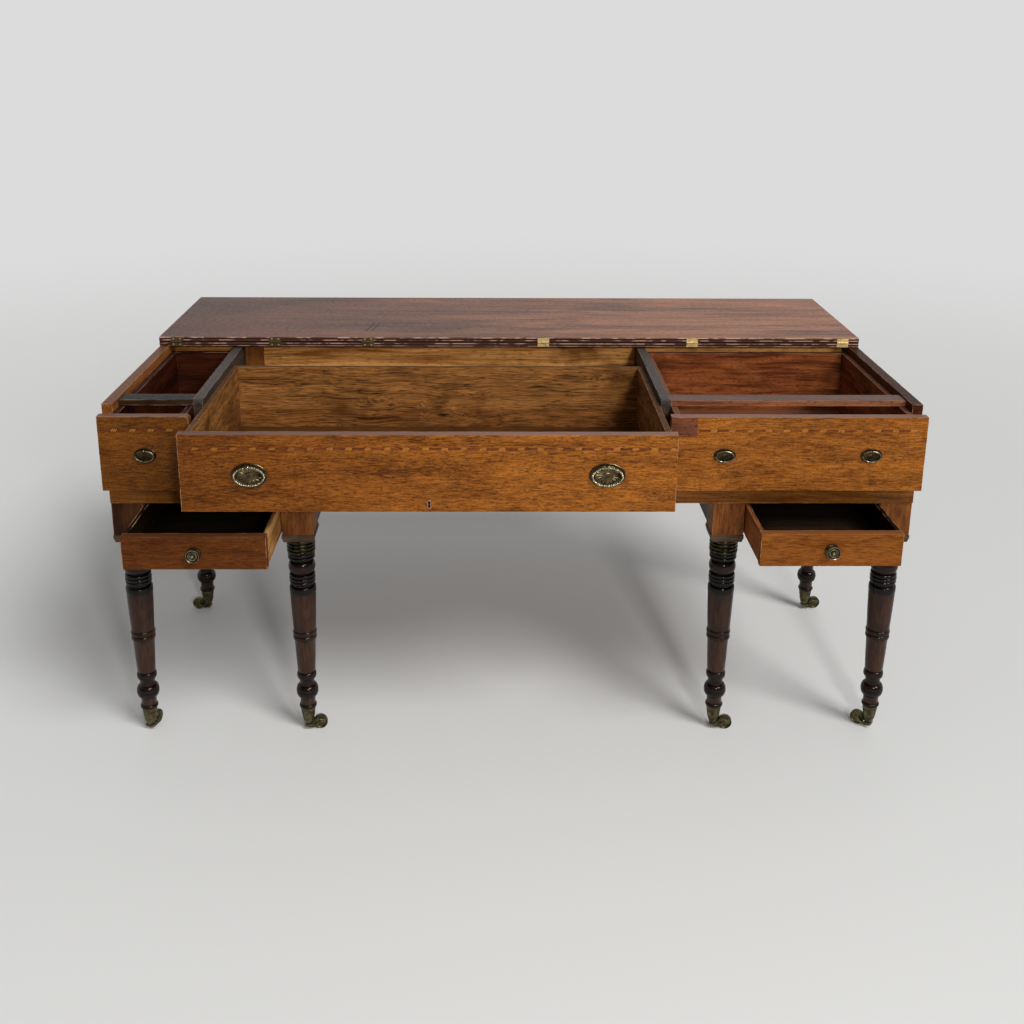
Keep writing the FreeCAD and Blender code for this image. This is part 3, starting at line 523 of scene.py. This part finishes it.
CUP = [(57.4, 13.5), (57.4, 16.4), (56.4, 16.6), (50, 15.9), (42, 14.8), (35, 13.9), (29, 12.8),
       (24, 11.4), (20, 9.8), (17, 8.6), (14.8, 7.6)]
# A plate below a block: half its side at each height, going up.
PLATE = [(473.6, 31.5), (474.6, 32.6), (478.4, 33.2), (481.6, 34.4), (482.6, 35), (489.4, 35), (490, 34.6)]
PLATE_CORNER = 0.8
# A caster wheel, and where its axle lies behind the pivot and above the floor
WHEEL_SIDE = [(6.4, 3), (6.4, 5.2), (5.2, 6.4), (4.3, 8), (4.3, 11.6), (5.2, 12.8), (6.4, 13.6),
              (6.4, 14.6), (5.6, 15.6), (4.4, 16)]
WHEEL = WHEEL_SIDE + [(-height, radius) for height, radius in reversed(WHEEL_SIDE)]
TRAIL, AXLE_Z = 26.15, 16
# A caster cheek from the side: a horn that sweeps from the hub up round the axle.
HORN = smooth_line([(-7.4, 0, 11.4), (-6, 0, 8.6), (1, 0, 7.2), (8, 0, 6.4), (15, 0, 8.2), (20.4, 0, 10.6),
                    (26.1, 0, 9.4), (31, 0, 12), (32.4, 0, 17), (29.8, 0, 21.4), (25.4, 0, 22.6),
                    (20.8, 0, 20), (18.4, 0, 15.8), (12.6, 0, 13), (6, 0, 13.6), (0, 0, 13.9),
                    (-6.2, 0, 13.4)], 4)
HORN_MIDDLE = Vector((12.6, 0, 11))
# A saddle below the cup carries the two cheeks, which stand either side of the wheel.
SADDLE = smooth_line([(-7.6, -7), (-7.6, 7), (-5, 9.2), (5, 9.2), (7.6, 7), (7.6, -7), (5, -9.2),
                      (-5, -9.2)], 3)
FORK = loops([[(x * share, y * share, z) for x, y in SADDLE]
              for z, share in ((7.4, 0.8), (8.6, 1), (12.6, 1), (13.9, 0.9))])
BOSS_AROUND = 16
for side in (-1, 1):
    rows = []
    for depth, share in ((7.1, 0.97), (7.5, 1), (9.2, 1), (9.6, 0.95)):
        rows.append([HORN_MIDDLE + (point - HORN_MIDDLE) * share + Vector((0, side * depth, 0))
                     for point in (HORN if side < 0 else reversed(HORN))])
    join(FORK, loops(rows))
    # The end of the axle stands out as a small boss.
    turns = [-side * math.tau * at / BOSS_AROUND for at in range(BOSS_AROUND)]
    boss = [[(TRAIL + radius * math.cos(turn), side * depth, AXLE_Z + radius * math.sin(turn))
             for turn in turns] for depth, radius in ((9.4, 3.2), (10, 3), (10.5, 2))]
    join(FORK, loops(boss))

for name, (x, y) in LEG_PLACES.items():
    here = placed(x, y, 0, LEG_TURN * len(name))
    piece("turned_leg_" + name, *turning(LEG), leg_wood, "case", "mahogany_leg", ["legs"], matrix=here)
    piece("reeded_collar_" + name, *turning(COLLAR), collar_brass, "case", "brass", ["leg_collars"],
          matrix=here)
    piece("low_reeds_" + name, *turning(LOW_REEDS), leg_wood, "case", "mahogany_leg", ["leg_collars"],
          matrix=here)
    piece("moulded_plate_" + name, *loops([cut_square(half, PLATE_CORNER, z) for z, half in PLATE]),
          plate_wood, "case", "mahogany_case", ["leg_plates"], matrix=placed(x, y, 0))
    piece("caster_cup_" + name, *turning(CUP), dull_brass, "case", "brass", ["caster_cups"], matrix=here)
    aim = placed(x, y, 0, CASTER_TURNS[name])
    piece("horned_fork_" + name, *FORK, dull_brass, name + "_fork", "brass", [name + "_fork"], matrix=aim)
    piece("dished_wheel_" + name, *turning(WHEEL), dull_brass, name + "_wheel", "brass",
          [name + "_wheel"], matrix=aim @ placed(TRAIL, 0, AXLE_Z, 90, "X"))

# Turned knobs with rings on their faces, on necks painted black as the shade behind the knobs
KNOB = [(18.4, 0.5), (18.1, 2.2), (16.8, 3.4), (13.8, 4), (12.8, 4.9), (13.2, 6.2), (15.2, 7), (16.2, 7.8),
        (15.8, 9), (14.2, 9.8), (13.6, 10.6), (14.8, 11.4), (16.6, 12.2), (17, 13), (16, 13.7),
        (14, 13.9), (12, 13.2), (10.4, 10.6), (9, 8.4)]
KNOB_NECK = [(9.2, 8.2), (5.8, 7.4), (4, 8.8), (3.2, 11.6), (2.6, 13.2), (1.4, 14), (0, 14)]
KNOB_PLACES = {"left": (-638, -509.5, 527), "right": (638, -496.5, 527)}
for side, spot in KNOB_PLACES.items():
    for part, outline, material in (("turned_knob_", KNOB, knob_brass),
                                    ("knob_neck_", KNOB_NECK, small_brass)):
        piece(part + side, *turning(outline), material, "small_" + side, "brass", ["small_%s_knob" % side],
              matrix=placed(*spot, 90, "X"))


def oval_relief(width, height, rows, around=96, petals=16):
    """An oval plate in relief: rows of (share of the oval, depth, petal depth) from the rim in."""
    made = []
    for share, depth, lift in rows:
        row = []
        for at in range(around):
            angle = math.tau * at / around
            rise = depth + lift * abs(math.cos(petals / 2 * angle))
            row.append((width / 2 * share * math.cos(angle), -rise, height / 2 * share * math.sin(angle)))
        made.append(row)
    return loops(made)


def oval_ring(long_half, short_half, thick, beads, lift, around=144, section=10):
    """An oval ring whose round section swells into beads along its length."""
    rows = []
    for at in range(around):
        angle = math.tau * at / around
        centre = Vector((long_half * math.cos(angle), 0, short_half * math.sin(angle)))
        out = Vector((math.cos(angle) / long_half, 0, math.sin(angle) / short_half)).normalized()
        radius = thick * (1 + lift * abs(math.sin(beads / 2 * angle)) - lift)
        rows.append([centre + radius * (out * math.cos(math.tau * turn / section)
                                        + Vector((0, -1, 0)) * math.sin(math.tau * turn / section))
                     for turn in range(section)])
    return loops(rows, closed_along=True)


# Front faces of the side drawers and of the middle one
SIDE_FACE, MIDDLE_FACE = -385, -494
LARGE_PLATE = [(0.98, 0, 0), (1, 1, 0), (0.99, 2.2, 0), (0.96, 2.9, 0), (0.93, 2.6, 0), (0.9, 1.6, 0),
               (0.84, 1.2, 0), (0.78, 1.2, 0), (0.72, 1.6, 0.2), (0.66, 2, 1), (0.55, 2.1, 1.3),
               (0.42, 1.9, 1.1), (0.32, 1.7, 0.5), (0.28, 2.2, 0), (0.26, 3.4, 0), (0.2, 4.1, 0),
               (0.12, 4.3, 0), (0.1, 4.8, 0), (0.04, 5, 0)]
SMALL_PLATE = [(0.98, 0, 0), (1, 0.8, 0), (0.98, 1.8, 0), (0.94, 2.3, 0), (0.9, 1.6, 0), (0.86, 1, 0),
               (0.6, 0.8, 0), (0.52, 1.1, 0), (0.48, 2, 0), (0.42, 2, 0), (0.38, 1.2, 0), (0.3, 1.4, 0),
               (0.26, 2.6, 0), (0.18, 3.2, 0), (0.06, 3.4, 0)]
# Each kind of pull: the plate and its metal, how far the plate's middle lies below the pull's height, the
# ring and its metal, and how far the ring's pivot lies in front of the face and above the pull's height.
LARGE = ((73, 52, LARGE_PLATE), brass, 1, (29.8, 18.8, 2.9, 40, 0.32), ring_brass, 7.217, 16.88)
SMALL = ((46, 32, SMALL_PLATE), small_brass, 0.4, (18.8, 11.4, 1.8, 2, 0), small_ring_brass, 5.874, 10.63)
# Each pull by the name of its bail: its drawer, plate node, place across, front face and kind.
PULLS = {
    "left_bail": ("left_drawer", "left_pull_plates", -756.75, SIDE_FACE, SMALL),
    "middle_left_bail": ("middle_drawer", "middle_pull_plates", -523, MIDDLE_FACE, LARGE),
    "middle_right_bail": ("middle_drawer", "middle_pull_plates", 181, MIDDLE_FACE, LARGE),
    "right_inner_bail": ("right_drawer", "right_pull_plates", 433.75, SIDE_FACE, SMALL),
    "right_outer_bail": ("right_drawer", "right_pull_plates", 737.75, SIDE_FACE, SMALL),
}
PULL_Z = 688
# An eye on the plate holds the ring: its radius and thickness as shares of the ring's thickness.
EYE_RADIUS, EYE_THICK = 1.62, 0.45
for name, (drawer, plates, x, face, kind) in PULLS.items():
    plate, plate_metal, drop, ring, ring_metal, out, up = kind
    ring_half, thick = ring[1:3]
    piece("oval_plate_" + name, *oval_relief(*plate), plate_metal, drawer, "brass", [plates],
          matrix=placed(x, face, PULL_Z - drop))
    piece("oval_bail_" + name, *oval_ring(*ring), ring_metal, name, "brass", [name],
          matrix=placed(x, face - out, PULL_Z + up - ring_half))
    eye = oval_ring(thick * EYE_RADIUS, thick * EYE_RADIUS, thick * EYE_THICK, 2, 0, 32, 8)
    piece("bail_eye_" + name, *eye, ring_metal, drawer, "brass",
          matrix=placed(x, face - out, PULL_Z + up, 90))

# Inlaid line along the upper fronts: dark bars between groups of slanted pale slips
BAND_Z, BAND_HALF, REPEAT, BAR = 742, 2.7, 37.5, 24
SLIP, SLIP_COUNT, SLIP_START, SLIP_STEP, LEAN = 1.7, 3, 3, 4.2, 2.2
PROUD, SUNK = 0.06, 0.4
# Faces of a thin box over two rows of four points
BOX_FACES = [(4, 5, 6, 7), (0, 1, 5, 4), (1, 2, 6, 5), (2, 3, 7, 6), (3, 0, 4, 7), (3, 2, 1, 0)]


def slip(x, width, lean, face):
    """Points and faces of one thin slip of the inlaid line."""
    corners = [(x - lean, -1), (x + width - lean, -1), (x + width + lean, 1), (x + lean, 1)]
    points = [(across, face - depth, BAND_Z + up * BAND_HALF)
              for depth in (-SUNK, PROUD) for across, up in corners]
    return points, BOX_FACES


for name, low, high, face in (("left", -848, -670, SIDE_FACE), ("middle", -658, 316, MIDDLE_FACE),
                              ("right", 378, 848, SIDE_FACE)):
    bars, slips = ([], []), ([], [])
    at = low
    while at + BAR < high:
        join(bars, slip(at, BAR, 0, face))
        for number in range(SLIP_COUNT):
            x = at + BAR + SLIP_START + number * SLIP_STEP
            if x + SLIP + LEAN < high:
                join(slips, slip(x, SLIP, LEAN, face))
        at += REPEAT
    for kind, shape, material in (("bars", bars, bar_wood), ("slips", slips, slip_wood)):
        piece("inlay_%s_%s" % (kind, name), *shape, material, name + "_drawer", "mahogany_front", sharp=20)


def slab(low, high, ease):
    """A thin board between two corners, its front face drawn in a little."""
    (x0, y0, z0), (x1, y1, z1) = low, high
    rows = []
    for y, inset in ((y1, 0), (y0 + ease, 0), (y0, ease)):
        rows.append([(x0 + inset, y, z0 + inset), (x1 - inset, y, z0 + inset),
                     (x1 - inset, y, z1 - inset), (x0 + inset, y, z1 - inset)])
    return loops(rows)


# A square of later wood let into the top corner of the right front
piece("repair_patch", *slab((322, SIDE_FACE - 0.12, 728), (375, SIDE_FACE + 2, 769), 0.05), patch_wood,
      "right_drawer", "mahogany_front")

# Keyhole of the middle drawer: a worn rim round a dark plug that is painted shade in the slot
KEYHOLE = placed(-171, MIDDLE_FACE, 625)
RIM = smooth_line([(0, 0, 9), (3.4, 0, 7.8), (4.5, 0, 4.6), (3.7, 0, 0.4), (4.5, 0, -4), (3.9, 0, -7.6),
                   (0, 0, -9), (-3.9, 0, -7.6), (-4.5, 0, -4), (-3.7, 0, 0.4), (-4.5, 0, 4.6),
                   (-3.4, 0, 7.8)], 4)
SLOT = smooth_line([(0, 0, 7), (1.9, 0, 6), (2.4, 0, 3.6), (1.5, 0, 0.6), (2.2, 0, -2.6), (1.9, 0, -5.4),
                    (0, 0, -6.8), (-1.9, 0, -5.4), (-2.2, 0, -2.6), (-1.5, 0, 0.6), (-2.4, 0, 3.6),
                    (-1.9, 0, 6)], 4)


def layers(*lines):
    """Rows from (line, share of its size, depth)."""
    return [[point * share + Vector((0, depth, 0)) for point in line] for line, share, depth in lines]


rim_rows = layers((RIM, 1, 0.3), (RIM, 0.99, -0.6), (RIM, 0.9, -0.9), (SLOT, 1.1, -0.7), (SLOT, 1, 0.3))
piece("keyhole_rim", *loops(rim_rows, closed_along=True), rim_brass, "middle_drawer", "brass",
      ["middle_escutcheon"], matrix=KEYHOLE)
piece("keyhole_slot", *loops(layers((SLOT, 1, 0.3), (SLOT, 1, -0.15))), gap_and_shade_wood, "middle_drawer",
      "mahogany_front", matrix=KEYHOLE)

# Screws of the hinges, two to each leaf, sunk almost flush so that the leaves can meet
CASE_LEFT, CASE_LONG = -850, 1700
HINGE_SHARES = (0.0247, 0.1644, 0.2965, 0.547, 0.7603, 0.9768)
SCREW_RADIUS, SCREW_ASIDE, SCREW_Y = 2.2, 8, 102.65
# A head is two half rounds with the driver's slot between them.
SCREW = ([], [])
for half in (0, 180):
    turns = [math.radians(half + step) for step in range(8, 173, 15)]
    line = [(SCREW_RADIUS * math.cos(turn), SCREW_RADIUS * math.sin(turn)) for turn in turns]
    join(SCREW, loops([[(across * scale, depth, up * scale) for across, up in line]
                       for depth, scale in ((0.3, 1), (-0.03, 1), (-0.09, 0.72))]))
for number, share in enumerate(HINGE_SHARES):
    for leaf, body, z in (("lower", "case", 791), ("upper", "flap", 805)):
        for side in (-1, 1):
            x = CASE_LEFT + share * CASE_LONG + side * SCREW_ASIDE
            tilt = (number * 53 + side * 31) % 180
            piece("hinge_screw_%s_%d_%s" % (leaf, number + 1, "ab"[side > 0]), *SCREW, bright_brass, body,
                  "brass", matrix=placed(x, SCREW_Y, z, tilt, "Y"))

# Two open joints run across part of the top
for number, x in enumerate((-357, -343)):
    line = [(x, 165), (x + 1.6, 165), (x + 14, 245), (x + 12.4, 245)]
    points = [(across, y, z) for z in (809.3, 809.66) for across, y in line]
    piece("open_joint_%d" % (number + 1), points, BOX_FACES, gap_and_shade_wood, "flap", "mahogany_top", sharp=20)


def looked_at(tree):
    """1 for what the camera sees, straight or in a reflection, and 0 for light that falls on objects."""
    rays = add(tree, "LightPath", {}).outputs
    shown = maths(tree, "MAXIMUM", rays["Is Camera Ray"], rays["Is Glossy Ray"])
    return maths(tree, "MAXIMUM", shown, rays["Is Transmission Ray"])


# Floor, light and camera
BACKDROP = linear("#DCDCDC")
FLOOR_HALF = 30
floor_material, tree, floor_shader = start("floor_painted_pale")
fill(tree, floor_shader, {"Base Color": linear("#DEDEDC"), "Roughness": 0.6})
# Far from the object the floor runs into the backdrop without a line.
far = add(tree, "VectorMath", {0: add(tree, "TexCoord", {}).outputs["Object"]}, operation="LENGTH")
away = between(tree, far.outputs["Value"], 1.8, 6.5, interpolation_type="SMOOTHSTEP")
blended = maths(tree, "MULTIPLY", away, looked_at(tree))
pale = add(tree, "Emission", {"Color": BACKDROP, "Strength": 1}).outputs[0]
surface = add(tree, "MixShader", {0: blended, 1: floor_shader.outputs[0], 2: pale}).outputs[0]
tree.links.new(surface, tree.nodes["Material Output"].inputs["Surface"])
floor_mesh = bpy.data.meshes.new("floor")
corners = [(x * FLOOR_HALF, y * FLOOR_HALF, 0) for x, y in ((-1, -1), (1, -1), (1, 1), (-1, 1))]
floor_mesh.from_pydata(corners, [], [(0, 1, 2, 3)])
floor_mesh.materials.append(floor_material)
floor = stand("floor", floor_mesh)

world = bpy.data.worlds.new("studio")
bpy.context.scene.world = world
world.use_nodes = True
tree = world.node_tree
outward = add(tree, "TexCoord", {}).outputs["Generated"]
# A pale backdrop stands behind the object, and the room behind the camera is darker.
paleness = between(tree, along(tree, outward, "Y"), -0.5, 0.2, 0.25, 1)
backdrop = add(tree, "Background", {"Color": BACKDROP, "Strength": paleness}).outputs[0]
# Soft light fills from the front and right.
FILL_WAY = (0.3, -0.34, 0.14)
lean = add(tree, "VectorMath", {0: outward, 1: FILL_WAY}, operation="DOT_PRODUCT")
level = between(tree, lean.outputs["Value"], -0.45, 0.45, 0.08, 0.66)
soft_light = add(tree, "Background", {"Color": BACKDROP, "Strength": level}).outputs[0]
chosen = add(tree, "MixShader", {0: looked_at(tree), 1: soft_light, 2: backdrop}).outputs[0]
tree.links.new(chosen, tree.nodes["World Output"].inputs["Surface"])


def aimed(name, light, way):
    """A new lamp that shines that way."""
    item = stand(name, light)
    item.rotation_euler = Vector(way).to_track_quat("-Z", "Y").to_euler()
    return item


# A broad sun from the upper right in front, and a small lamp that puts highlights on brass and legs
SUN_WAY = (-0.75, 0.8, -1.1)
LAMP_PLACE, LAMP_AIM = Vector((0.9, -4.2, 2.2)), Vector((0, -0.2, 0.6))
sun = bpy.data.lights.new("key", "SUN")
sun.energy, sun.angle = 2.1, math.radians(24)
aimed("key", sun, SUN_WAY)
lamp = bpy.data.lights.new("window", "AREA")
lamp.shape = "RECTANGLE"
lamp.size, lamp.size_y, lamp.energy = 0.4, 0.4, 60
aimed("window", lamp, LAMP_AIM - LAMP_PLACE).location = LAMP_PLACE

# The camera stands where the photograph was taken, looks down by 16 degrees and leans by a third of one.
PITCH, YAW, ROLL = 0.27750264, -0.01588864, 0.0062978
CAMERA_PLACE = (-0.055337, -2.662927, 1.5412)
FOCAL, CENTRE_U, CENTRE_V, WIDE = 1178.21395, 505.78353, 359.98697, 1024
SENSOR = 36
facing = (Matrix.Rotation(ROLL, 3, "Z") @ Matrix.Rotation(PITCH, 3, "X") @ Matrix.Rotation(YAW, 3, "Y")
          @ Matrix(((1, 0, 0), (0, 0, -1), (0, 1, 0))))
right, down, ahead = facing
camera_data = bpy.data.cameras.new("camera")
camera_data.sensor_width = SENSOR
camera_data.lens = FOCAL / WIDE * SENSOR
camera_data.shift_x = (WIDE / 2 - CENTRE_U) / WIDE
camera_data.shift_y = (CENTRE_V - WIDE / 2) / WIDE
camera = stand("camera", camera_data)
camera.matrix_world = (Matrix.Translation(CAMERA_PLACE)
                       @ Matrix((right, -down, -ahead)).transposed().to_4x4())
bpy.context.scene.camera = camera
bpy.context.scene.view_settings.view_transform = "Standard"
